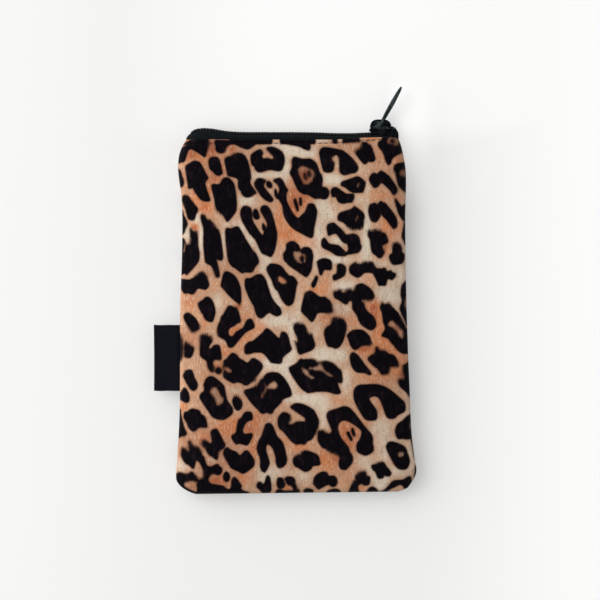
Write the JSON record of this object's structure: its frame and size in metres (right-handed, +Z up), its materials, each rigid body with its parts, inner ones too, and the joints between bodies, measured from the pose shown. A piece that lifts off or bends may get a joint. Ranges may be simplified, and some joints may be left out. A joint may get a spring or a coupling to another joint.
{
  "type": "zipped glasses case",
  "caption": "Soft padded glasses pouch in printed cloth with a zip along its mouth and a folded label tab in one side seam.",
  "frame": {"origin": "on the flat of the back wall, where the case rests, between its sides and near the middle of its height", "axes": "+X along the zip towards its closed end, +Y from the bottom seam towards the zip, +Z up from the table through the case"},
  "size_m": [0.1281, 0.1988, 0.0132],
  "materials": {
    "printed_cloth": "matt brushed cloth with a leopard print",
    "foam": "matt foam interlining",
    "lining_cloth": "plain black lining",
    "thread": "black polyester thread",
    "tape_cloth": "black woven zip tape",
    "coil_nylon": "black nylon, satin gloss",
    "cord_cloth": "dark filler cord",
    "slider_paint": "black paint, satin",
    "spring_steel": "plain spring steel",
    "label_satin": "black woven satin, bare"
  },
  "bodies": {
    "root": {"outer_back": "printed_cloth", "padding_back": "foam", "lining_back": "lining_cloth", "topstitch_back": "thread", "zip_tape_back": "tape_cloth", "zip_coil_back": "coil_nylon", "coil_cord_back": "cord_cloth", "coil_stitch_back": "thread", "outer_seam_thread": "thread", "lining_seam_thread": "thread"},
    "front": {"outer_front": "printed_cloth", "padding_front": "foam", "lining_front": "lining_cloth", "topstitch_front": "thread", "zip_tape_front": "tape_cloth", "zip_coil_front": "coil_nylon", "coil_cord_front": "cord_cloth", "coil_stitch_front": "thread"},
    "slider": {"slider_body": "slider_paint", "slider_crown": "slider_paint", "slider_lock_spring": "spring_steel"},
    "puller": {"puller": "slider_paint"},
    "tab": {"label_tab": "label_satin"}
  },
  "joints": [
    {"name": "slider_travel", "type": "slide", "parent": "root", "child": "slider", "axis": [-1, 0, 0], "range_m": [0, 0.07]},
    {"name": "mouth_open", "type": "hinge", "parent": "root", "child": "front", "pos_m": [0, -0.0865, 0.0062], "axis": [1, 0, 0], "range_deg": [0, 8], "deforming": ["zip_tape_front", "zip_coil_front", "coil_cord_front", "coil_stitch_front"]},
    {"name": "puller_swing", "type": "hinge", "parent": "slider", "child": "puller", "pos_m": [0.04215, 0.0926, 0.0062], "axis": [0, 0, 1], "range_deg": [-50, 108]},
    {"name": "tab_flap", "type": "hinge", "parent": "root", "child": "tab", "pos_m": [-0.0558, -0.0207, 0.0062], "axis": [0, 1, 0], "range_deg": [-20, 60], "stiffness_Nm_per_rad": 0.001}
  ],
  "couplings": [
    {"joint": "mouth_open", "follows": "slider_travel", "rad_per_m": 1.99}
  ]
}
